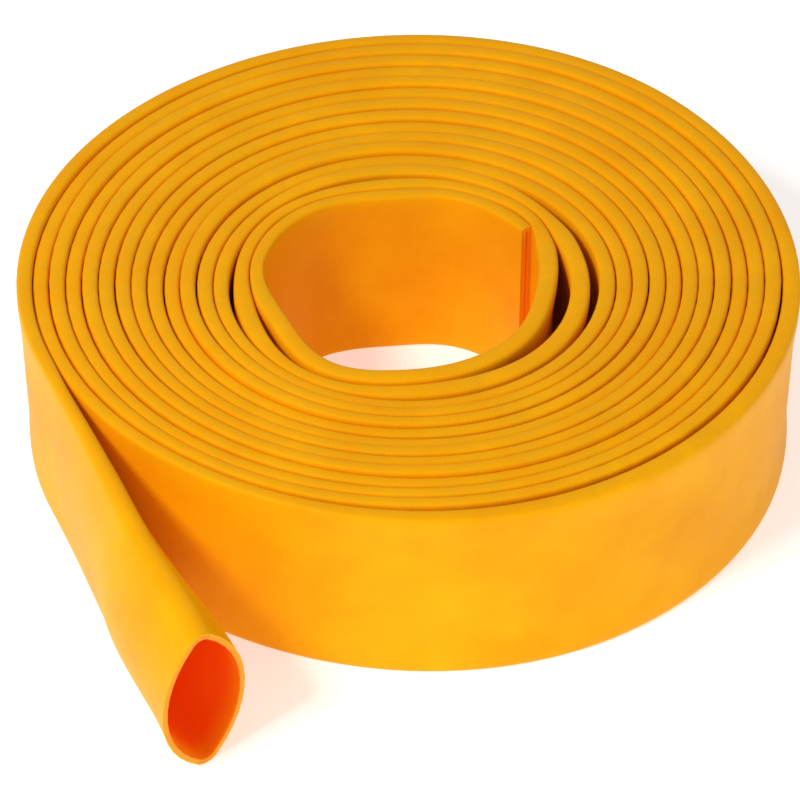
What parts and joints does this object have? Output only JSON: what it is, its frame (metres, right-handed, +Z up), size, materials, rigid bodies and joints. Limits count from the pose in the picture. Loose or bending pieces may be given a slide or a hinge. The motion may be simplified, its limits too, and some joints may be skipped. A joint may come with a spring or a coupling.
{
  "type": "rolled fire hose",
  "caption": "Lay-flat fire hose rolled up flat on its edge, with an open eye in the middle and a free outer end that opens to an oval mouth.",
  "frame": {"origin": "middle of the whole hose's outline seen from above, on the floor that it lies on", "axes": "+Z up, along the axis that the hose is rolled about; +Y from the outer end's mouth towards the back of the roll; +X to the right"},
  "size_m": [0.319, 0.3802, 0.0828],
  "materials": {
    "cover": "satin",
    "jacket": "woven, matt",
    "liner": "smooth, satin"
  },
  "bodies": {
    "roll": {"roll_cover": "cover", "roll_jacket": "jacket", "roll_liner": "liner"},
    "outer_end": {"outer_end_cover": "cover", "outer_end_jacket": "jacket", "outer_end_liner": "liner"},
    "inner_end": {"inner_end_cover": "cover", "inner_end_jacket": "jacket", "inner_end_liner": "liner"}
  },
  "joints": [
    {"name": "outer_end_swing", "type": "hinge", "parent": "roll", "child": "outer_end", "pos_m": [-0.14434, -0.0327, 0], "axis": [0, 0, -1], "range_deg": [0, 60]},
    {"name": "inner_end_swing", "type": "hinge", "parent": "roll", "child": "inner_end", "pos_m": [0.00137, 0.07125, 0], "axis": [0, 0, -1], "range_deg": [0, 35]}
  ]
}
